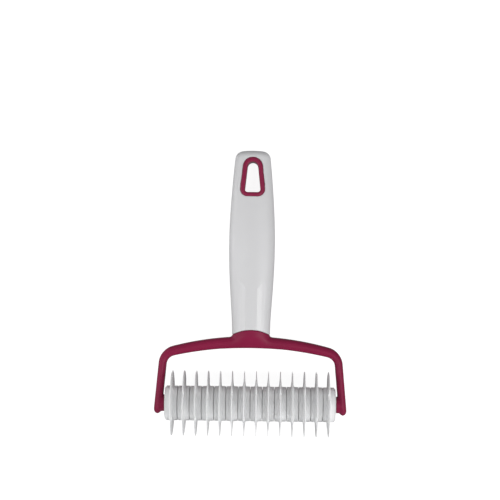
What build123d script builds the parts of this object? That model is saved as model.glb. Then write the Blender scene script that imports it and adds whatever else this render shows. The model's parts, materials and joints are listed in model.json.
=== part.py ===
from build123d import *
import math
import os

# Lattice roller cutter: a moulded handle, an arched yoke and a roller of
# fourteen notched cutting wheels.
#
# Everything is modelled in the tool's own frame first: X across the tool along
# the roller's axis, Y from that axis towards the handle's end, Z towards the
# front face. It is then laid down as it lies on a table, on the wheels' rims
# and the handle's end, with the origin under the middle of its box.

# ---------------------------------------------------------------- dimensions, mm
# Roller
N_WHEELS = 14
PITCH = 8.17  # from one cutting disc to the next
DISC_R = 22.0
CORE_R = 11.7
BOSS_R = 9.8  # where neighbouring wheels abut
SEAM_W = 0.36  # groove between two hubs
RIM_T = 0.42  # disc thickness at the rim
MID_R, MID_T = 17.0, 0.94  # halfway out; the faces are slightly hollow
ROOT_T = 2.00  # and at the hub, before the fillet
ROOT_FILLET = 0.8
HUB_EDGE_R = 0.4
NOTCHES = 3
NOTCH_RIM_W = 6.6  # notch width at the rim
NOTCH_FLOOR_W = 4.3  # and at its floor
NOTCH_FLOOR_R = 14.3
NOTCH_CORNER_R = 0.8
FIRST_NOTCH_DEG = (-34.0, 26.0)  # odd and even wheels, from +Z towards +Y
HEX_AF = 11.0  # axle tube, across flats
HEX_GAP = 0.05  # each side, wheel on axle
AXLE_BORE_R = 4.5
AXLE_END_GAP = 0.2

# End caps
CAP_FLANGE_R = 10.8
CAP_FLANGE_T = 0.5
CAP_SPIGOT_R = 4.46
CAP_SPIGOT_L = 7.0

# Yoke pins
PIN_R = 3.0
PIN_BORE_R = 3.05
PIN_L = 6.0
HUB_R = 5.6
HUB_FACE_U = 58.0  # inner face of the hub on each arm

# Yoke
BAR_TOP_V = 45.7
BAR_TOP_R = 205.0
BAR_BOTTOM_V = 38.3
BAR_BOTTOM_R = 235.0
CORNER_U = 61.6  # where the bar's top arc and the arm's outer line would meet
CORNER_R_OUT = 12.4
CORNER_R_IN = 7.2
ARM_SPLAY_DEG = 5.3
ARM_T = 5.2
ARM_DEPTH = 11.4
ARM_END_V = -1.6  # centre of the arm's round end, in side view
YOKE_EDGE_R = 2.1

# Collar and tang
COLLAR_V0, COLLAR_V1 = 39.6, 46.4
COLLAR_FOOT_U, COLLAR_FOOT_W = 17.5, 5.4  # half sizes where it leaves the bar
COLLAR_A, COLLAR_B = 12.65, 9.15  # half sizes under the handle
TANG_TOP_V = 102.0
TANG_WEB_T = 3.2
TANG_RIBS_V = (56.0, 70.0, 84.0, 98.0)
TANG_RIB_T = 2.4
TANG_GAP = 0.15

# Handle: half width a and half thickness b at stations along the tool
HANDLE = (
    (40.0, 12.80, 9.25),
    (48.0, 12.88, 9.42),
    (56.0, 13.12, 9.65),
    (68.0, 13.88, 10.08),
    (80.0, 14.66, 10.47),
    (94.0, 15.32, 10.75),
    (108.0, 15.56, 10.80),
    (122.0, 15.30, 10.58),
    (136.0, 14.70, 10.02),
    (149.0, 13.86, 9.19),
    (161.0, 12.92, 8.20),
    (168.0, 12.25, 7.58),
    (177.0, 11.30, 6.75),
)
HANDLE_POWER = 2.5  # superellipse exponent of its section
HANDLE_TOP_V = 171.8
HANDLE_TOP_DROP = 0.9  # the top edge falls this much at 12 mm from the middle
HANDLE_TOP_EDGE_R = 3.4
ARCH_V, ARCH_R = 26.8, 24.0  # circle that cuts the handle's lower edge
ARCH_GAP = 0.15
WALL = 2.2
CAVITY_TOP_V = 134.0

# Hang hole
HOLE_TOP_V, HOLE_TOP_R = 160.6, 3.6
HOLE_CORNER_V, HOLE_CORNER_U, HOLE_CORNER_R = 145.6, 3.25, 2.0
RING_TOP_V, RING_TOP_R = 160.7, 6.7
RING_CORNER_V, RING_CORNER_U, RING_CORNER_R = 145.75, 3.45, 4.9
RING_PROUD = 0.45
RING_GAP = 0.04
RING_EDGE_R = 0.9


# ---------------------------------------------------------------- helpers
def section(v, a, b, n=HANDLE_POWER, count=32):
    """Superellipse across the tool at station v, as one closed spline."""
    pts = []
    for i in range(count):
        t = 2 * math.pi * i / count
        c, s = math.cos(t), math.sin(t)
        r = (abs(c / a) ** n + abs(s / b) ** n) ** (-1.0 / n)
        pts.append(Vector(r * c, v, r * s))
    return Wire([Edge.make_spline(pts, periodic=True)])


def grip(offset=0.0):
    """The handle's outer form, grown by offset."""
    wires = [section(v, a + offset, b + offset) for v, a, b in HANDLE]
    return Solid.make_loft(wires, ruled=False)


def half_sizes(v):
    """Half width and half thickness of the handle at v, by cubic interpolation."""
    rows = HANDLE
    for i in range(len(rows) - 1):
        if rows[i][0] <= v <= rows[i + 1][0]:
            break
    p0 = rows[max(i - 1, 0)]
    p1, p2 = rows[i], rows[i + 1]
    p3 = rows[min(i + 2, len(rows) - 1)]
    h = p2[0] - p1[0]
    t = (v - p1[0]) / h
    out = []
    for k in (1, 2):
        m1 = (p2[k] - p0[k]) / (p2[0] - p0[0]) * h
        m2 = (p3[k] - p1[k]) / (p3[0] - p1[0]) * h
        out.append(
            (2 * t**3 - 3 * t**2 + 1) * p1[k]
            + (t**3 - 2 * t**2 + t) * m1
            + (-2 * t**3 + 3 * t**2) * p2[k]
            + (t**3 - t**2) * m2
        )
    return out


def trapezoid(top_v, top_r, corner_v, corner_u, corner_r, grow=0.0):
    """Rounded trapezoid face in the XY plane: three circles and their tangents."""
    R, r = top_r + grow, corner_r + grow
    dx, dy = corner_u, top_v - corner_v
    # (nx, ny): outward normal of the tangent line on the +X side. Both circles
    # touch that line, so dy * ny - dx * nx = r - R.
    turn = math.asin((r - R) / math.hypot(dx, dy)) + math.atan2(dx, dy)
    nx, ny = math.cos(turn), math.sin(turn)
    t1 = (R * nx, top_v + R * ny)
    b1 = (corner_u + r * nx, corner_v + r * ny)
    low = corner_v - r
    edges = [
        Edge.make_line((t1[0], t1[1], 0), (b1[0], b1[1], 0)),
        Edge.make_three_point_arc(
            (b1[0], b1[1], 0),
            (
                corner_u + r * math.cos(math.radians(-40)),
                corner_v + r * math.sin(math.radians(-40)),
                0,
            ),
            (corner_u, low, 0),
        ),
        Edge.make_line((corner_u, low, 0), (-corner_u, low, 0)),
        Edge.make_three_point_arc(
            (-corner_u, low, 0),
            (
                -corner_u - r * math.cos(math.radians(-40)),
                corner_v + r * math.sin(math.radians(-40)),
                0,
            ),
            (-b1[0], b1[1], 0),
        ),
        Edge.make_line((-b1[0], b1[1], 0), (-t1[0], t1[1], 0)),
        Edge.make_three_point_arc(
            (-t1[0], t1[1], 0), (0, top_v + R, 0), (t1[0], t1[1], 0)
        ),
    ]
    return Face(Wire(edges))


def through(face, depth=40.0):
    """Extrude a face of the XY plane both ways along Z."""
    return extrude(face, amount=depth / 2, dir=(0, 0, 1), both=True)


def one(shape):
    """The single solid of a boolean's result."""
    solids = shape.solids()
    assert len(solids) == 1, [round(s.volume, 1) for s in solids]
    return solids[0]


def try_fillet(shape, edges, radii):
    """Fillet with the first radius that gives a valid solid."""
    for r in radii:
        try:
            out = shape.fillet(r, edges)
            if out.is_valid and len(out.solids()) == 1:
                return one(out), r
        except Exception:
            continue
    return shape, 0.0


# ---------------------------------------------------------------- handle
def handle_and_liner():
    outer = grip()
    # the top end: a shallow convex cap, then a soft edge all round
    span = 30.0
    drop = HANDLE_TOP_DROP * (span / 12.0) ** 2
    cap_edges = [
        Edge.make_three_point_arc(
            (-span, HANDLE_TOP_V - drop, 0),
            (0, HANDLE_TOP_V, 0),
            (span, HANDLE_TOP_V - drop, 0),
        ),
        Edge.make_line((span, HANDLE_TOP_V - drop, 0), (span, 30, 0)),
        Edge.make_line((span, 30, 0), (-span, 30, 0)),
        Edge.make_line((-span, 30, 0), (-span, HANDLE_TOP_V - drop, 0)),
    ]
    body = one(outer & through(Face(Wire(cap_edges))))
    top_edges = [e for e in body.edges() if e.center().Y > HANDLE_TOP_V - 6]
    body, r_top = try_fillet(body, top_edges, (HANDLE_TOP_EDGE_R, 3.0, 2.5, 2.0))

    # lower edge, an arch in front view
    arch = through(Face(Wire([Edge.make_circle(ARCH_R)])).moved(Location((0, ARCH_V, 0))))
    body = one(body - arch)
    low_edges = [
        e for e in body.edges() if e.center().Y < ARCH_V + ARCH_R + 1.0
    ]
    body, r_low = try_fillet(body, low_edges, (0.6, 0.4))

    # hollow, open at the bottom, closed above by a dome
    stations = [40.0, 56.0, 68.0, 80.0, 94.0, 108.0, 122.0, CAVITY_TOP_V]
    wires = []
    for v in stations:
        a, b = half_sizes(v)
        wires.append(section(v, a - WALL, b - WALL))
    cavity = Solid.make_loft(wires, ruled=False)
    top_ring = [e for e in cavity.edges() if e.center().Y > CAVITY_TOP_V - 2]
    cavity, _ = try_fillet(cavity, top_ring, (4.0, 3.0, 2.0))
    body = one(body - cavity)

    # hang hole and its liner
    hole = trapezoid(
        HOLE_TOP_V, HOLE_TOP_R, HOLE_CORNER_V, HOLE_CORNER_U, HOLE_CORNER_R
    )
    ring = trapezoid(
        RING_TOP_V, RING_TOP_R, RING_CORNER_V, RING_CORNER_U, RING_CORNER_R
    )
    pocket = trapezoid(
        RING_TOP_V,
        RING_TOP_R,
        RING_CORNER_V,
        RING_CORNER_U,
        RING_CORNER_R,
        grow=RING_GAP,
    )
    body = one(body - through(pocket))
    liner = one((grip(RING_PROUD) & through(ring)) - through(hole))
    face_edges = [
        e for e in liner.edges() if abs(e.center().Z) > 5.5
        and abs(e.bounding_box().max.Z - e.bounding_box().min.Z) < 4.0
    ]
    liner, r_ring = try_fillet(liner, face_edges, (RING_EDGE_R, 0.7, 0.5, 0.3))
    print("handle fillets", r_top, r_low, "liner", r_ring)
    return body, liner


# ---------------------------------------------------------------- yoke
def yoke():
    s, c = math.sin(math.radians(ARM_SPLAY_DEG)), math.cos(math.radians(ARM_SPLAY_DEG))
    corner_v = BAR_TOP_V - (BAR_TOP_R - math.sqrt(BAR_TOP_R**2 - CORNER_U**2))
    low = ARM_END_V - ARM_DEPTH / 2 - 1.0

    def outer_u(v):
        return CORNER_U + (corner_v - v) * s / c

    def inner_u(v):
        return outer_u(v) - ARM_T / c

    # inner corner: where the bar's lower arc meets the arm's inner line
    u = 50.0
    for _ in range(60):
        v = BAR_BOTTOM_V - (BAR_BOTTOM_R - math.sqrt(BAR_BOTTOM_R**2 - u * u))
        u = inner_u(v)
    in_corner = (u, v)
    outer_low = (outer_u(low), low)
    inner_low = (inner_u(low), low)
    pts = {
        "oc": (CORNER_U, corner_v),
        "ol": outer_low,
        "il": inner_low,
        "ic": in_corner,
    }

    def p(name, sign=1):
        x, y = pts[name]
        return (sign * x, y, 0)

    wire = Wire(
        [
            Edge.make_three_point_arc(p("oc", -1), (0, BAR_TOP_V, 0), p("oc")),
            Edge.make_line(p("oc"), p("ol")),
            Edge.make_line(p("ol"), p("il")),
            Edge.make_line(p("il"), p("ic")),
            Edge.make_three_point_arc(p("ic"), (0, BAR_BOTTOM_V, 0), p("ic", -1)),
            Edge.make_line(p("ic", -1), p("il", -1)),
            Edge.make_line(p("il", -1), p("ol", -1)),
            Edge.make_line(p("ol", -1), p("oc", -1)),
        ]
    )
    face = Face(wire)
    oc = [q for q in face.vertices() if abs(abs(q.X) - CORNER_U) < 0.2 and q.Y > 30]
    face = face.fillet_2d(CORNER_R_OUT, oc)
    ic = [
        q
        for q in face.vertices()
        if abs(abs(q.X) - in_corner[0]) < 0.2 and abs(q.Y - in_corner[1]) < 0.2
    ]
    face = face.fillet_2d(CORNER_R_IN, ic)
    frame = one(extrude(face, amount=ARM_DEPTH / 2, dir=(0, 0, 1), both=True))

    # round the arms' ends in side view
    half = ARM_DEPTH / 2
    side = Face(
        Wire(
            [
                Edge.make_line((0, ARM_END_V, half), (0, 60, half)),
                Edge.make_line((0, 60, half), (0, 60, -half)),
                Edge.make_line((0, 60, -half), (0, ARM_END_V, -half)),
                Edge.make_three_point_arc(
                    (0, ARM_END_V, -half),
                    (0, ARM_END_V - half, 0),
                    (0, ARM_END_V, half),
                ),
            ]
        )
    )
    side = extrude(side, amount=80, dir=(1, 0, 0), both=True)
    frame = one(frame & side)
    frame, r_edge = try_fillet(
        frame,
        [
            e
            for e in frame.edges()
            if not (
                abs(e.bounding_box().max.Z - e.bounding_box().min.Z)
                > 2 * half - 0.01
                and e.center().Y > ARM_END_V + 1
            )
            and not (
                abs(e.center().Y - ARM_END_V) < 0.5
                and abs(e.bounding_box().max.X - e.bounding_box().min.X)
                > ARM_T * 0.9
                and abs(e.bounding_box().max.Z - e.bounding_box().min.Z) < 0.01
            )
        ],
        (YOKE_EDGE_R, 1.9, 1.6, 1.2),
    )

    # hubs and pins on the inside of the arm ends
    body = frame
    for sign in (-1, 1):
        root_u = inner_u(0) + ARM_T * 0.6
        hub = Solid.make_cone(
            HUB_R,
            HUB_R - 0.6,
            0.6,
            Plane(origin=(sign * (HUB_FACE_U + 0.6), 0, 0), z_dir=(-sign, 0, 0)),
        )
        base = Solid.make_cylinder(
            HUB_R,
            root_u - HUB_FACE_U - 0.6,
            Plane(origin=(sign * (HUB_FACE_U + 0.6), 0, 0), z_dir=(sign, 0, 0)),
        )
        pin = Solid.make_cylinder(
            PIN_R,
            PIN_L + 1.0,
            Plane(origin=(sign * (HUB_FACE_U + 1.0), 0, 0), z_dir=(-sign, 0, 0)),
        )
        tip = [
            e
            for e in pin.edges()
            if abs(abs(e.center().X) - (HUB_FACE_U - PIN_L)) < 0.01
        ]
        pin = pin.chamfer(0.6, 0.6, tip)
        body = body + hub + base + pin
    body = one(body)

    # collar, from the bar to the handle's arched edge
    foot_pts = []
    count = 32
    for i in range(count):
        t = 2 * math.pi * i / count
        cs, sn = math.cos(t), math.sin(t)
        n = 3.2
        r = (
            abs(cs / COLLAR_FOOT_U) ** n + abs(sn / COLLAR_FOOT_W) ** n
        ) ** (-1.0 / n)
        foot_pts.append(Vector(r * cs, COLLAR_V0, r * sn))
    foot = Wire([Edge.make_spline(foot_pts, periodic=True)])
    mid = section(
        (COLLAR_V0 + COLLAR_V1) / 2,
        (COLLAR_FOOT_U * 0.36 + COLLAR_A * 0.64),
        (COLLAR_FOOT_W * 0.40 + COLLAR_B * 0.60),
    )
    neck = section(COLLAR_V1, COLLAR_A, COLLAR_B)
    flare = Solid.make_loft([foot, mid, neck], ruled=False)
    sleeve = Solid.make_loft(
        [neck, section(COLLAR_V1 + 6.0, COLLAR_A, COLLAR_B)], ruled=True
    )
    arch = through(
        Face(Wire([Edge.make_circle(ARCH_R - ARCH_GAP)])).moved(
            Location((0, ARCH_V, 0))
        )
    )
    collar = one((flare + sleeve) & arch)
    body = one(body + collar)

    # tang inside the handle: two crossed webs and ribs that fit the hollow
    tang = None
    for wide, deep in (
        (2 * (12.0 - WALL - 1.4), TANG_WEB_T),
        (TANG_WEB_T, 2 * (9.4 - WALL - 1.0)),
    ):
        web = Solid.make_box(wide, TANG_TOP_V - 46.0, deep).moved(
            Location((-wide / 2, 46.0, -deep / 2))
        )
        tang = web if tang is None else tang + web
    for v in TANG_RIBS_V:
        lo_a, lo_b = half_sizes(v)
        hi_a, hi_b = half_sizes(v + TANG_RIB_T)
        a = min(lo_a, hi_a) - WALL - TANG_GAP
        b = min(lo_b, hi_b) - WALL - TANG_GAP
        rib = Solid.make_loft(
            [section(v, a, b), section(v + TANG_RIB_T, a, b)], ruled=True
        )
        tang = tang + rib
    body = one(body + tang)
    print("yoke edge fillet", r_edge)
    return body


# ---------------------------------------------------------------- roller
def hexagon_prism(af, length, phase_deg=0.0):
    """Hexagonal prism along X, centred; a flat faces +Z turned by the phase."""
    r = af / math.sqrt(3)
    pts = []
    for i in range(6):
        t = math.radians(60 * i + 30 + phase_deg)
        pts.append((-length / 2, r * math.sin(t), r * math.cos(t)))
    wire = Wire.make_polygon(pts, close=True)
    return extrude(Face(wire), amount=length, dir=(1, 0, 0))


def wheel_blank():
    """One wheel turned about the X axis, before its notches and hexagonal hole."""
    h = PITCH / 2
    g = h - SEAM_W / 2

    def blade_face(sign):
        root, mid, rim = (ROOT_T, CORE_R), (MID_T, MID_R), (RIM_T, DISC_R)
        pts = [(sign * t / 2, r, 0) for t, r in (root, mid, rim)]
        return Edge.make_three_point_arc(*(pts if sign > 0 else reversed(pts)))

    right = [(h, 2.0), (h, BOSS_R), (g, BOSS_R), (g, CORE_R), (ROOT_T / 2, CORE_R)]
    left = [(-x, y) for x, y in reversed(right)]
    edges = [
        Edge.make_line((*p, 0), (*q, 0)) for p, q in zip(right[:-1], right[1:])
    ]
    edges.append(blade_face(1))
    edges.append(Edge.make_line((RIM_T / 2, DISC_R, 0), (-RIM_T / 2, DISC_R, 0)))
    edges.append(blade_face(-1))
    edges += [Edge.make_line((*p, 0), (*q, 0)) for p, q in zip(left[:-1], left[1:])]
    edges.append(Edge.make_line((-h, 2.0, 0), (h, 2.0, 0)))
    face = Face(Wire(edges))
    hub_edges = [
        q for q in face.vertices() if abs(abs(q.X) - g) < 1e-6 and q.Y > CORE_R - 0.01
    ]
    face = face.fillet_2d(HUB_EDGE_R, hub_edges)
    roots = [
        q
        for q in face.vertices()
        if abs(abs(q.X) - ROOT_T / 2) < 1e-6 and abs(q.Y - CORE_R) < 0.01
    ]
    face = face.fillet_2d(ROOT_FILLET, roots)
    rims = [q for q in face.vertices() if abs(q.Y - DISC_R) < 1e-6]
    face = face.fillet_2d(RIM_T * 0.3, rims)
    return revolve(face, Axis.X, 360)


def notch_cutter():
    """Tapered slot with rounded floor corners, pointing along +Z."""
    hi = DISC_R + 3.0
    grow = (NOTCH_RIM_W - NOTCH_FLOOR_W) / (DISC_R - NOTCH_FLOOR_R)
    wide = NOTCH_FLOOR_W + grow * (hi - NOTCH_FLOOR_R)
    pts = [
        (0, -NOTCH_FLOOR_W / 2, NOTCH_FLOOR_R),
        (0, NOTCH_FLOOR_W / 2, NOTCH_FLOOR_R),
        (0, wide / 2, hi),
        (0, -wide / 2, hi),
    ]
    cut = one(extrude(Face(Wire.make_polygon(pts, close=True)), amount=PITCH / 2 - 0.2,
                      dir=(1, 0, 0), both=True))
    corners = [
        e
        for e in cut.edges()
        if abs(e.center().Z - NOTCH_FLOOR_R) < 1e-6 and abs(e.center().Y) > 1.0
    ]
    return cut.fillet(NOTCH_CORNER_R, corners)


def wheel(first_notch_deg):
    body = wheel_blank()
    cut = notch_cutter()
    for i in range(NOTCHES):
        # positive turns +Z towards +Y, which is negative about +X
        ang = first_notch_deg + i * 360.0 / NOTCHES
        body = body - cut.rotate(Axis.X, -ang)
    body = body - hexagon_prism(
        HEX_AF + 2 * HEX_GAP, PITCH + 2, phase_deg=FIRST_NOTCH_DEG[0]
    )
    return one(body)


def roller_parts():
    parts = {}
    odd, even = wheel(FIRST_NOTCH_DEG[0]), wheel(FIRST_NOTCH_DEG[1])
    for i in range(N_WHEELS):
        u = (i - (N_WHEELS - 1) / 2) * PITCH
        src = odd if i % 2 == 0 else even
        parts[f"blade_wheel_{i + 1:02d}"] = src.moved(Location((u, 0, 0)))
    stack = N_WHEELS * PITCH
    axle = hexagon_prism(HEX_AF, stack - 2 * AXLE_END_GAP, phase_deg=FIRST_NOTCH_DEG[0])
    bore = Solid.make_cylinder(
        AXLE_BORE_R, stack + 2, Plane(origin=(-stack / 2 - 1, 0, 0), z_dir=(1, 0, 0))
    )
    parts["roller_axle"] = one(axle - bore)
    for name, sign in (("end_cap_left", -1), ("end_cap_right", 1)):
        face_u = sign * stack / 2
        flange = Solid.make_cylinder(
            CAP_FLANGE_R, CAP_FLANGE_T, Plane(origin=(face_u, 0, 0), z_dir=(sign, 0, 0))
        )
        rim = [
            e
            for e in flange.edges()
            if abs(abs(e.center().X) - (stack / 2 + CAP_FLANGE_T)) < 1e-6
        ]
        flange = flange.fillet(0.3, rim)
        spigot = Solid.make_cylinder(
            CAP_SPIGOT_R, CAP_SPIGOT_L, Plane(origin=(face_u, 0, 0), z_dir=(-sign, 0, 0))
        )
        hole = Solid.make_cylinder(
            PIN_BORE_R,
            CAP_SPIGOT_L + CAP_FLANGE_T + 2,
            Plane(origin=(sign * (stack / 2 + CAP_FLANGE_T + 1), 0, 0), z_dir=(-sign, 0, 0)),
        )
        parts[name] = one((flange + spigot) - hole)
    return parts


# ---------------------------------------------------------------- lay it down
def lean_angle(handle):
    """Tilt about X at which the handle's underside meets the plane of the rims."""
    lo, hi = 3.0, 7.0
    for _ in range(24):
        mid = (lo + hi) / 2
        low = handle.rotate(Axis.X, -mid).bounding_box().min.Z + DISC_R
        if low > 0:
            lo = mid
        else:
            hi = mid
    return (lo + hi) / 2


def main():
    handle, liner = handle_and_liner()
    parts = {"handle_shell": handle, "hang_hole_liner": liner, "yoke": yoke()}
    parts.update(roller_parts())

    # the handle or the liner's back ring, whichever meets the table first
    lean = min(lean_angle(handle), lean_angle(liner))
    laid = {k: s.rotate(Axis.X, -lean) for k, s in parts.items()}
    boxes = [s.bounding_box() for s in laid.values()]
    y_mid = (min(b.min.Y for b in boxes) + max(b.max.Y for b in boxes)) / 2
    print("lean", round(lean, 4), "axis at y", round(-y_mid, 4), "z", DISC_R)
    os.makedirs("parts", exist_ok=True)
    for name, shape in laid.items():
        placed = shape.moved(Location((0, -y_mid, DISC_R)))
        placed.label = name
        export_step(placed, f"parts/{name}.step")


main()
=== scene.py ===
import json
import math

import bpy
import numpy as np
from mathutils import Matrix, Vector


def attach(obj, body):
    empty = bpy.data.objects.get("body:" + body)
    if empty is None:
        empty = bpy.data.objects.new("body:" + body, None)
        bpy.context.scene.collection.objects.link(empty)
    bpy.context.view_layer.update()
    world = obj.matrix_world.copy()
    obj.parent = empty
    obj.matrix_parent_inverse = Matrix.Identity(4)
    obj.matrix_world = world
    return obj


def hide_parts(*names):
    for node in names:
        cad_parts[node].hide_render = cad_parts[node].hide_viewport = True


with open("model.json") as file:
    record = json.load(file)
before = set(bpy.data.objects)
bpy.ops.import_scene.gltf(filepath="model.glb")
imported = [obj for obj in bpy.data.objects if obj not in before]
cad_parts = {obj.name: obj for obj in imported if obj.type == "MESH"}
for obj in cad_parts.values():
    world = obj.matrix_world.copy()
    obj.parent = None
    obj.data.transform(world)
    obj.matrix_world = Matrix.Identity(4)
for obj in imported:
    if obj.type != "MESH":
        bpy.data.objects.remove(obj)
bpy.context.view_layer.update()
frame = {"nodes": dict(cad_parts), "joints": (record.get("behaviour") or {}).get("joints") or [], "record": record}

# ------------------------------------------------------------------ tool frame
# u across the tool, v from the roller's axis towards the handle's end, w
# towards the front face, in mm. The tool leans on the table by a few degrees.
AXIS = np.array(frame["joints"][0]["pos_m"], float) * 1000.0
HOLE_AXIS = next(
    m["axis"] for m in frame["record"]["mounts"] if m["name"] == "hang_hole"
)
LEAN = math.atan2(HOLE_AXIS[1], HOLE_AXIS[2])
SN, CS = math.sin(LEAN), math.cos(LEAN)


def to_row(p):
    """Tool-frame millimetres to row-frame metres."""
    u, v, w = p[:, 0], p[:, 1], p[:, 2]
    return (
        np.stack([u, v * CS + w * SN + AXIS[1], -v * SN + w * CS + AXIS[2]], 1) / 1000.0
    )


def turn_row(n):
    """A direction of the tool frame in the row frame."""
    u, v, w = n[:, 0], n[:, 1], n[:, 2]
    return np.stack([u, v * CS + w * SN, -v * SN + w * CS], 1)


def point_row(u, v, w):
    return Vector(to_row(np.array([[u, v, w]], float))[0])


# ------------------------------------------------------------------ dimensions, mm
HANDLE = np.array(
    [
        (40.0, 12.80, 9.25),
        (48.0, 12.88, 9.42),
        (56.0, 13.12, 9.65),
        (68.0, 13.88, 10.08),
        (80.0, 14.66, 10.47),
        (94.0, 15.32, 10.75),
        (108.0, 15.56, 10.80),
        (122.0, 15.30, 10.58),
        (136.0, 14.58, 10.02),
        (149.0, 13.66, 9.19),
        (161.0, 12.58, 8.20),
        (168.0, 11.84, 7.58),
        (177.0, 10.80, 6.75),
    ]
)
POWER = 2.5
TOP_V, TOP_DROP, TOP_EDGE_R = 171.8, 0.9, 4.2
ARCH_V, ARCH_R, ARCH_GAP = 26.8, 24.0, 0.15
WALL, CAVITY_TOP_V = 2.2, 134.0
RING_PROUD = 0.45


# ------------------------------------------------------------------ distance fields
def spline_at(v, col):
    """Smooth value of a handle column at v, by cubic Hermite pieces."""
    x, y = HANDLE[:, 0], HANDLE[:, col]
    m = np.gradient(y, x)
    v = np.clip(v, x[0], x[-1])
    i = np.clip(np.searchsorted(x, v) - 1, 0, len(x) - 2)
    h = x[i + 1] - x[i]
    t = (v - x[i]) / h
    return (
        (2 * t**3 - 3 * t**2 + 1) * y[i]
        + (t**3 - 2 * t**2 + t) * h * m[i]
        + (-2 * t**3 + 3 * t**2) * y[i + 1]
        + (t**3 - t**2) * h * m[i + 1]
    )


TABLE_V = np.linspace(30.0, 185.0, 3101)
TABLE_A, TABLE_B = spline_at(TABLE_V, 1), spline_at(TABLE_V, 2)


def half_sizes(v):
    return np.interp(v, TABLE_V, TABLE_A), np.interp(v, TABLE_V, TABLE_B)


def super_distance(u, w, a, b, n):
    """First-order distance to the superellipse |u/a|^n + |w/b|^n = 1."""
    x, y = np.abs(u) / a + 1e-9, np.abs(w) / b + 1e-9
    s = x**n + y**n
    r = s ** (1.0 / n)
    gx = (x / r) ** (n - 1) / a
    gy = (y / r) ** (n - 1) / b
    return (r - 1.0) / np.sqrt(gx * gx + gy * gy + 1e-12)


def meet(a, b, r):
    """Intersection of two distances, its edge rounded with radius r."""
    x, y = np.maximum(a + r, 0), np.maximum(b + r, 0)
    return np.minimum(np.maximum(a, b), -r) + np.sqrt(x * x + y * y)


def join(a, b, k):
    """Union of two distances, with a soft fillet of about k."""
    if k <= 0:
        return np.minimum(a, b)
    h = np.maximum(k - np.abs(a - b), 0.0) / k
    return np.minimum(a, b) - h * h * h * k / 6.0


def trapezoid(u, v, top_v, top_r, corner_v, corner_u, corner_r):
    """Distance to the rounded trapezoid around the hang hole."""
    u = np.abs(u)
    dx, dy = corner_u, top_v - corner_v
    turn = math.asin((corner_r - top_r) / math.hypot(dx, dy)) + math.atan2(dx, dy)
    nx, ny = math.cos(turn), math.sin(turn)
    tx, ty = ny, -nx  # down the slanted side
    x, y = u, v - top_v
    s = x * tx + y * ty
    length = dx * tx - dy * ty
    side = x * nx + y * ny - top_r
    arc = np.hypot(x, y) - top_r
    corner = np.hypot(u - corner_u, v - corner_v) - corner_r
    low = (corner_v - corner_r) - v
    d = np.where(s < 0, arc, side)
    d = np.where((s > length) & (u > corner_u), corner, d)
    return np.where((v < corner_v + 3) & (u <= corner_u), np.maximum(d, low), d)


def hole_2d(u, v):
    return trapezoid(u, v, 160.6, 3.6, 145.6, 3.25, 2.0)


def ring_2d(u, v, grow=0.0):
    return trapezoid(u, v, 160.7, 6.7 + grow, 145.75, 3.45, 4.9 + grow)


def grip(u, v, w):
    a, b = half_sizes(v)
    return super_distance(u, w, a, b, POWER)


FACET_U0, FACET_U1, FACET_TOP_V = 3.75, 7.45, 84.0


def facets(u, v, w):
    """The two long flats on each face of the neck, their upper ends slanted inwards."""
    a, b = half_sizes(v)
    u0, u1 = FACET_U0, FACET_U1
    w0 = b * (1 - np.clip(u0 / a, 0, 1) ** POWER) ** (1 / POWER)
    w1 = b * (1 - np.clip(u1 / a, 0, 1) ** POWER) ** (1 / POWER)
    slope = (w0 - w1) / (u1 - u0) + 0.07
    depth = np.clip((FACET_TOP_V - (u1 - np.abs(u)) * 1.2 - v) / 1.5, 0.0, 1.0)
    chord = w0 + 0.03 - slope * (np.abs(u) - u0)
    d = (np.abs(w) - chord) / np.sqrt(1 + slope * slope)
    near = (v < FACET_TOP_V) & (np.abs(u) > 1.5) & (np.abs(u) < 10.5)
    return np.where(near & (depth > 0), d - 0.25 * (1 - depth), -5.0)


def handle_field(p):
    u, v, w = p[:, 0], p[:, 1], p[:, 2]
    side = grip(u, v, w)
    side = np.maximum(side, facets(u, v, w))
    cap = v - (TOP_V - TOP_DROP * (u / 12.0) ** 2)
    d = meet(side, cap, TOP_EDGE_R)
    arch = ARCH_R - np.hypot(u, v - ARCH_V)
    d = meet(d, arch, 0.6)
    inner = meet(grip(u, v, w) + WALL, v - CAVITY_TOP_V, 4.0)
    d = np.maximum(d, -inner)
    return meet(d, -ring_2d(u, v, 0.04), 0.25)


def liner_field(p):
    u, v, w = p[:, 0], p[:, 1], p[:, 2]
    face = grip(u, v, w) - RING_PROUD
    band = np.maximum(ring_2d(u, v), -hole_2d(u, v))
    return meet(face, band, 1.1)


BAR_TOP_V, BAR_TOP_R = 45.7, 205.0
BAR_BOTTOM_V, BAR_BOTTOM_R = 38.3, 235.0
CORNER_U, CORNER_R_OUT, CORNER_R_IN = 61.6, 12.4, 7.2
SPLAY = math.radians(5.3)
ARM_T, ARM_DEPTH, ARM_END_V = 5.2, 11.4, -1.6
YOKE_EDGE_R = 3.2
HUB_R, HUB_FACE_U, PIN_R, PIN_L = 5.6, 58.0, 3.0, 6.0


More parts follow.
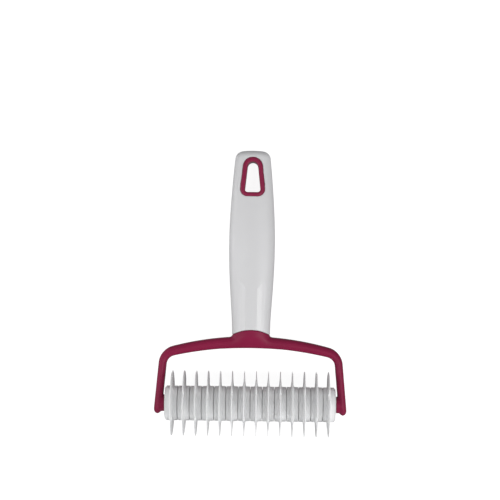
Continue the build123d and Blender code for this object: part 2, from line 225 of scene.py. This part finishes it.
def lens_2d(u, v, centre_v, radius, line_u, line_v, corner_r):
    """Distance to the region under an arc and inside the arm's line, its corner rounded."""
    u = np.abs(u)
    nx, ny = math.cos(SPLAY), math.sin(SPLAY)
    rr = radius - corner_r
    disc = np.hypot(u, v - centre_v) - rr
    line = (u - line_u) * nx + (v - line_v) * ny + corner_r
    # corner of the shrunk region
    cu, cv = line_u, line_v
    for _ in range(60):
        cv = centre_v + math.sqrt(rr * rr - cu * cu)
        cu = line_u + (-corner_r - (cv - line_v) * ny) / nx
    corner = np.hypot(u - cu, v - cv)
    # which feature is nearest outside
    along = (u - cu) * (-ny) + (v - cv) * nx  # up the line
    ang_c = math.atan2(cv - centre_v, cu)
    ang = np.arctan2(v - centre_v, u)
    beyond_line = along > 0
    beyond_disc = ang < ang_c
    outside = np.where(
        beyond_line & beyond_disc & ((disc > 0) | (line > 0)),
        corner,
        np.maximum(disc, line),
    )
    return outside - corner_r


def yoke_2d(u, v):
    s, c = math.sin(SPLAY), math.cos(SPLAY)
    corner_v = BAR_TOP_V - (BAR_TOP_R - math.sqrt(BAR_TOP_R**2 - CORNER_U**2))
    outer = lens_2d(
        u, v, BAR_TOP_V - BAR_TOP_R, BAR_TOP_R, CORNER_U, corner_v, CORNER_R_OUT
    )
    inner = lens_2d(
        u,
        v,
        BAR_BOTTOM_V - BAR_BOTTOM_R,
        BAR_BOTTOM_R,
        CORNER_U - ARM_T / c,
        corner_v,
        CORNER_R_IN,
    )
    return np.maximum(outer, -inner)


COLLAR_V = np.array([36.0, 39.6, 41.2, 43.0, 45.0, 46.4, 55.0])
COLLAR_A = np.array([18.6, 17.5, 15.9, 14.15, 13.0, 12.65, 12.65])
COLLAR_B = np.array([4.6, 5.4, 6.45, 7.75, 8.75, 9.15, 9.15])


def yoke_field(p):
    u, v, w = p[:, 0], p[:, 1], p[:, 2]
    au, aw = np.abs(u), np.abs(w)
    flat = yoke_2d(u, v)
    half = ARM_DEPTH / 2
    side = np.where(v < ARM_END_V, np.hypot(v - ARM_END_V, w) - half, aw - half)
    d = meet(flat, side, YOKE_EDGE_R)
    # collar
    a = np.interp(v, COLLAR_V, COLLAR_A)
    b = np.interp(v, COLLAR_V, COLLAR_B)
    collar = super_distance(u, w, a, b, POWER)
    collar = meet(collar, np.hypot(u, v - ARCH_V) - (ARCH_R - ARCH_GAP), 0.45)
    collar = np.maximum(collar, 39.0 - v)
    d = join(d, collar, 3.2)
    # hubs with a bevelled face, and pins
    r = np.hypot(v, w)
    hub = np.maximum(HUB_FACE_U - au, au - 62.0)
    hub = np.maximum(hub, r - HUB_R)
    hub = np.maximum(hub, (r - HUB_R + (HUB_FACE_U + 0.6 - au)) * 0.7071)
    d = join(d, hub, 0.7)
    pin = np.maximum(HUB_FACE_U - PIN_L - au, au - 60.0)
    pin = meet(pin, r - PIN_R, 0.5)
    d = np.minimum(d, pin)
    # tang inside the handle
    web = np.minimum(
        np.maximum(au - 8.4, aw - 1.6), np.maximum(au - 1.6, aw - 6.2)
    )
    web = np.maximum(web, np.maximum(v - 102.0, 46.0 - v))
    d = np.minimum(d, web)
    for v0 in (56.0, 70.0, 84.0, 98.0):
        fa = min(float(half_sizes(v0)[0]), float(half_sizes(v0 + 2.4)[0])) - 2.35
        fb = min(float(half_sizes(v0)[1]), float(half_sizes(v0 + 2.4)[1])) - 2.35
        rib = np.maximum(super_distance(u, w, fa, fb, POWER), np.abs(v - v0 - 1.2) - 1.2)
        d = np.minimum(d, rib)
    return d


# ------------------------------------------------------------------ surface maker
def slope_of(f, p, eps=0.02):
    g = np.empty_like(p)
    for i in range(3):
        e = np.zeros(3)
        e[i] = eps
        g[:, i] = (f(p + e) - f(p - e)) / (2 * eps)
    return g


def surface(name, f, lo, hi, h):
    """A closed quad mesh of the zero surface of f, its points moved exactly onto it."""
    lo, hi = np.array(lo, float), np.array(hi, float)
    n = np.ceil((hi - lo) / h).astype(int) + 1
    ax = [lo[i] + h * np.arange(n[i]) for i in range(3)]
    val = np.empty(tuple(n), np.float32)
    Y, Z = np.meshgrid(ax[1], ax[2], indexing="ij")
    flat = np.stack([Y.ravel(), Z.ravel()], 1)
    for i in range(0, n[0], 8):
        xs = ax[0][i : i + 8]
        p = np.empty((len(xs) * len(flat), 3))
        p[:, 0] = np.repeat(xs, len(flat))
        p[:, 1:] = np.tile(flat, (len(xs), 1))
        val[i : i + 8] = f(p).reshape(len(xs), n[1], n[2])
    inside = val < 0
    shape = tuple(n - 1)
    total, count = np.zeros(shape + (3,), np.float32), np.zeros(shape, np.int16)
    crossings = []
    for axis in range(3):
        a = [slice(None)] * 3
        b = [slice(None)] * 3
        a[axis], b[axis] = slice(0, -1), slice(1, None)
        va, vb = val[tuple(a)], val[tuple(b)]
        cross = inside[tuple(a)] != inside[tuple(b)]
        idx = np.argwhere(cross)
        t = va[cross] / (va[cross] - vb[cross])
        pos = idx.astype(np.float32)
        pos[:, axis] += t
        other = [k for k in range(3) if k != axis]
        for da in (0, -1):
            for db in (0, -1):
                c = idx.copy()
                c[:, other[0]] += da
                c[:, other[1]] += db
                ok = np.all((c >= 0) & (c < np.array(shape)), axis=1)
                k = tuple(c[ok].T)
                np.add.at(total, k, pos[ok])
                np.add.at(count, k, 1)
        crossings.append((axis, other, idx, inside[tuple(a)][cross]))
    live = count > 0
    number = np.full(shape, -1, np.int64)
    number[live] = np.arange(live.sum())
    pts = lo + h * (total[live] / count[live][:, None]).astype(float)
    quads = []
    for axis, other, idx, first_in in crossings:
        o0, o1 = other
        corner = []
        for da, db in ((-1, -1), (0, -1), (0, 0), (-1, 0)):
            c = idx.copy()
            c[:, o0] += da
            c[:, o1] += db
            corner.append(c)
        ok = np.all([np.all(c >= 0, axis=1) for c in corner], axis=0) & np.all(
            [np.all(c < np.array(shape), axis=1) for c in corner], axis=0
        )
        q = np.stack([number[tuple(c[ok].T)] for c in corner], 1)
        flip = first_in[ok] ^ (axis == 1)
        q = np.where(flip[:, None], q, q[:, ::-1])
        quads.append(q)
    quads = np.concatenate(quads)
    ends = np.concatenate([quads[:, [i, (i + 1) % 4]] for i in range(4)])
    degree = np.bincount(ends.ravel(), minlength=len(pts)).astype(float)
    for step in range(5):
        g = slope_of(f, pts)
        d = f(pts)
        gg = np.maximum((g * g).sum(1), 0.05)
        move = -(d / gg)[:, None] * g
        size = np.linalg.norm(move, axis=1)
        move *= np.minimum(1.0, 0.6 * h / np.maximum(size, 1e-9))[:, None]
        pts = pts + move
        if step < 3:
            near = np.zeros_like(pts)
            for i in range(3):
                near[:, i] = np.bincount(
                    ends[:, 0], pts[ends[:, 1], i], len(pts)
                ) + np.bincount(ends[:, 1], pts[ends[:, 0], i], len(pts))
            mean = near / degree[:, None]
            unit = g / np.sqrt(gg)[:, None]
            pull = mean - pts
            pull -= (pull * unit).sum(1)[:, None] * unit
            pts = pts + 0.5 * pull
    g = slope_of(f, pts, 0.04)
    unit = g / np.maximum(np.linalg.norm(g, axis=1), 1e-9)[:, None]
    mesh = bpy.data.meshes.new(name)
    mesh.vertices.add(len(pts))
    mesh.vertices.foreach_set("co", to_row(pts).astype(np.float32).ravel())
    mesh.loops.add(quads.size)
    mesh.loops.foreach_set("vertex_index", quads.astype(np.int32).ravel())
    mesh.polygons.add(len(quads))
    mesh.polygons.foreach_set("loop_start", np.arange(0, quads.size, 4, dtype=np.int32))
    mesh.update(calc_edges=True)
    mesh.polygons.foreach_set("use_smooth", np.ones(len(quads), bool))
    mesh.validate()
    mesh.normals_split_custom_set_from_vertices(turn_row(unit).astype(np.float32))
    obj = bpy.data.objects.new(name, mesh)
    bpy.context.scene.collection.objects.link(obj)
    print("surface", name, len(pts), "points")
    return obj


# ------------------------------------------------------------------ materials
def plastic(name, color, rough, grain, grain_scale, tint=0.03, spec=0.5, glow=0.0):
    """Moulded plastic: a soft uneven gloss, a fine moulded grain and faint mottling.

    glow is the share of light that scatters inside, as in thin unpigmented plastic.
    """
    mat = bpy.data.materials.new(name)
    mat.use_nodes = True
    nt = mat.node_tree
    nodes, links = nt.nodes, nt.links
    bsdf = nodes["Principled BSDF"]
    bsdf.inputs["Specular IOR Level"].default_value = spec
    bsdf.inputs["Subsurface Weight"].default_value = glow
    bsdf.inputs["Subsurface Radius"].default_value = (1.0, 0.95, 0.9)
    bsdf.inputs["Subsurface Scale"].default_value = 0.0016
    coord = nodes.new("ShaderNodeTexCoord")
    # slow mottling of colour
    slow = nodes.new("ShaderNodeTexNoise")
    slow.inputs["Scale"].default_value = 55.0
    slow.inputs["Detail"].default_value = 3.0
    links.new(coord.outputs["Object"], slow.inputs["Vector"])
    ramp = nodes.new("ShaderNodeValToRGB")
    lo = [max(0.0, x * (1 - tint)) for x in color]
    hi = [min(1.0, x * (1 + tint)) for x in color]
    ramp.color_ramp.elements[0].position = 0.30
    ramp.color_ramp.elements[0].color = (*lo, 1)
    ramp.color_ramp.elements[1].position = 0.70
    ramp.color_ramp.elements[1].color = (*hi, 1)
    links.new(slow.outputs["Fac"], ramp.inputs["Fac"])
    links.new(ramp.outputs["Color"], bsdf.inputs["Base Color"])
    # uneven gloss
    patch = nodes.new("ShaderNodeTexNoise")
    patch.inputs["Scale"].default_value = 210.0
    patch.inputs["Detail"].default_value = 4.0
    links.new(coord.outputs["Object"], patch.inputs["Vector"])
    rr = nodes.new("ShaderNodeMapRange")
    rr.inputs["To Min"].default_value = rough - 0.05
    rr.inputs["To Max"].default_value = rough + 0.07
    links.new(patch.outputs["Fac"], rr.inputs["Value"])
    links.new(rr.outputs["Result"], bsdf.inputs["Roughness"])
    # moulded grain
    fine = nodes.new("ShaderNodeTexNoise")
    fine.inputs["Scale"].default_value = grain_scale
    fine.inputs["Detail"].default_value = 2.0
    links.new(coord.outputs["Object"], fine.inputs["Vector"])
    bump = nodes.new("ShaderNodeBump")
    bump.inputs["Strength"].default_value = grain
    bump.inputs["Distance"].default_value = 0.00006
    links.new(fine.outputs["Fac"], bump.inputs["Height"])
    links.new(bump.outputs["Normal"], bsdf.inputs["Normal"])
    return mat


def polish_flats(mat):
    """A smoother finish on the two long flats of the handle's neck."""
    nt = mat.node_tree
    nodes, links = nt.nodes, nt.links
    bsdf = nodes["Principled BSDF"]
    rough_from = bsdf.inputs["Roughness"].links[0].from_socket

    def ramp(value, at0, at1, out0=0.0, out1=1.0):
        node = nodes.new("ShaderNodeMapRange")
        node.inputs["From Min"].default_value = at0
        node.inputs["From Max"].default_value = at1
        node.inputs["To Min"].default_value = out0
        node.inputs["To Max"].default_value = out1
        links.new(value, node.inputs["Value"])
        return node.outputs["Result"]

    def math_node(kind, a, b=None, factor=None):
        node = nodes.new("ShaderNodeMath")
        node.operation = kind
        links.new(a, node.inputs[0])
        if b is not None:
            links.new(b, node.inputs[1])
        if factor is not None:
            node.inputs[1].default_value = factor
        return node.outputs[0]

    coord = nodes.new("ShaderNodeTexCoord")
    axes = nodes.new("ShaderNodeSeparateXYZ")
    links.new(coord.outputs["Object"], axes.inputs["Vector"])
    across = math_node("ABSOLUTE", axes.outputs["X"])
    inner = ramp(across, FACET_U0 / 1000 + 0.0001, FACET_U0 / 1000 + 0.0005)
    outer = ramp(across, FACET_U1 / 1000 - 0.0005, FACET_U1 / 1000 - 0.0001, 1.0, 0.0)
    band = math_node("MULTIPLY", inner, outer)
    # the slanted upper end
    end_y = (FACET_TOP_V - FACET_U1 * 1.2 - 1.5) * CS / 1000 + AXIS[1] / 1000
    slant = math_node("MULTIPLY", across, factor=1.2)
    height = math_node("SUBTRACT", axes.outputs["Y"], slant)
    below = ramp(height, end_y, end_y + 0.0012, 1.0, 0.0)
    flat = math_node("MULTIPLY", band, below)
    blend = nodes.new("ShaderNodeMix")
    links.new(flat, blend.inputs["Factor"])
    links.new(rough_from, blend.inputs["A"])
    blend.inputs["B"].default_value = 0.20
    links.new(blend.outputs["Result"], bsdf.inputs["Roughness"])
    links.new(ramp(flat, 0.0, 1.0, 0.5, 0.65), bsdf.inputs["Specular IOR Level"])


WHITE_HANDLE = plastic("white_handle_plastic", (0.623, 0.622, 0.632), 0.40, 0.25, 2600.0, 0.012)
polish_flats(WHITE_HANDLE)
WHITE_ROLLER = plastic("white_roller_plastic", (0.832, 0.836, 0.840), 0.40, 0.30, 2600.0, 0.012, 0.5, 0.12)
BURGUNDY = plastic("burgundy_plastic", (0.212, 0.0085, 0.045), 0.38, 0.35, 2200.0, 0.06, 0.17)
MAGENTA = plastic("liner_plastic", (0.228, 0.0098, 0.049), 0.34, 0.25, 2200.0, 0.05, 0.28)


def paint(obj, mat):
    obj.data.materials.clear()
    obj.data.materials.append(mat)


# ------------------------------------------------------------------ pieces
handle = surface("handle", handle_field, (-17, 44, -12), (17, 174, 12), 0.5)
paint(handle, WHITE_HANDLE)
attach(handle, "handle_frame")
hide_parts("handle_shell")

liner = surface("hole_liner", liner_field, (-9.5, 140.3, -11.5), (9.5, 169.3, 11.5), 0.3)
paint(liner, MAGENTA)
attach(liner, "handle_frame")
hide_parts("hang_hole_liner")

yoke = surface("arched_yoke", yoke_field, (-67, -9, -11), (67, 104, 11), 0.5)
paint(yoke, BURGUNDY)
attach(yoke, "handle_frame")
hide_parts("yoke")

for name in frame["nodes"]:
    if name not in ("handle_shell", "hang_hole_liner", "yoke"):
        o = frame["nodes"][name]
        for s in o.material_slots:
            s.material = WHITE_ROLLER

# ------------------------------------------------------------------ floor
mesh = bpy.data.meshes.new("floor")
# a flat sheet that rises to a backdrop some way off, on all sides
sheet = [(sx * r, sy * r, z) for r, z in ((4.5, 0), (7.5, 3.5)) for sx, sy in ((-1, -1), (1, -1), (1, 1), (-1, 1))]
mesh.from_pydata(sheet, [], [(0, 1, 2, 3)] + [(i, 4 + i, 4 + (i + 1) % 4, (i + 1) % 4) for i in range(4)])
floor = bpy.data.objects.new("floor", mesh)
bpy.context.scene.collection.objects.link(floor)
pale = bpy.data.materials.new("pale_floor")
pale.use_nodes = True
pale.node_tree.nodes["Principled BSDF"].inputs["Base Color"].default_value = (0.26, 0.26, 0.26, 1)
pale.node_tree.nodes["Principled BSDF"].inputs["Emission Color"].default_value = (1, 1, 1, 1)
pale.node_tree.nodes["Principled BSDF"].inputs["Emission Strength"].default_value = 0.91
pale.node_tree.nodes["Principled BSDF"].inputs["Roughness"].default_value = 0.8
pale.node_tree.nodes["Principled BSDF"].inputs["Specular IOR Level"].default_value = 0.2
floor.data.materials.append(pale)
floor.visible_diffuse = False
floor.visible_glossy = False

# ------------------------------------------------------------------ light
scene = bpy.context.scene
world = bpy.data.worlds.new("studio")
scene.world = world
world.use_nodes = True
world.node_tree.nodes["Background"].inputs["Color"].default_value = (1, 1, 1, 1)
world.node_tree.nodes["Background"].inputs["Strength"].default_value = 0.286


def softbox(name, place, aim, size, power):
    data = bpy.data.lights.new(name, "AREA")
    data.shape = "RECTANGLE"
    data.size, data.size_y = size
    data.energy = power
    o = bpy.data.objects.new(name, data)
    scene.collection.objects.link(o)
    o.location = place
    o.rotation_mode = "QUATERNION"
    o.rotation_quaternion = (Vector(aim) - Vector(place)).to_track_quat("-Z", "Y")
    return o


MIDDLE = (0.0, 0.0, 0.02)
ROLLER_SIDE = (0.0, -0.05, 0.02)
softbox("softbox_left", (-0.50, -0.13, 0.80), MIDDLE, (0.60, 0.70), 1.95)
softbox("softbox_right", (0.50, -0.13, 0.80), MIDDLE, (0.60, 0.70), 3.95)
softbox("softbox_low_left", (-0.60, -0.60, 0.55), ROLLER_SIDE, (0.60, 0.60), 1.12)
softbox("softbox_low_right", (0.60, -0.60, 0.55), ROLLER_SIDE, (0.60, 0.60), 2.0)
softbox("strip_near", (0.0, -0.90, 0.16), ROLLER_SIDE, (1.40, 0.28), 1.32)
softbox("strip_far", (0.0, 0.85, 0.50), MIDDLE, (1.40, 0.50), 0.7)
softbox("panel_left", (-0.90, 0.0, 0.25), MIDDLE, (0.45, 1.00), 1.53)
softbox("panel_right", (0.90, 0.0, 0.25), MIDDLE, (0.45, 1.00), 0.63)
# a small reflector beside the handle that lifts its left flank
reflector = softbox("bounce_left", (-0.13, 0.045, 0.035), (0.0, 0.045, 0.008), (0.13, 0.05), 0.034)
reflector.visible_camera = False

# ------------------------------------------------------------------ camera
cam_data = bpy.data.cameras.new("camera")
cam = bpy.data.objects.new("camera", cam_data)
scene.collection.objects.link(cam)
cam_data.sensor_width = 36.0
cam_data.lens = 36.0 * 1150.0 / 500.0
cam_data.dof.use_dof = False
ROLL = math.radians(0.68)
eye = point_row(7.5, 104.6, 782.0)
aim = point_row(-1.35, 104.6, 0.0)
back = (eye - aim).normalized()
up = (point_row(-1.35, 205.0, 0.0) - aim).normalized()
right = up.cross(back).normalized()
up2 = up * math.cos(ROLL) - right * math.sin(ROLL)
right2 = right * math.cos(ROLL) + up * math.sin(ROLL)
m = Matrix((right2, up2, back)).transposed().to_4x4()
m.translation = eye
cam.matrix_world = m
cam_data.clip_start, cam_data.clip_end = 0.01, 20.0
scene.camera = cam

scene.view_settings.view_transform = "Standard"
scene.view_settings.look = "None"
scene.view_settings.exposure = 0.0
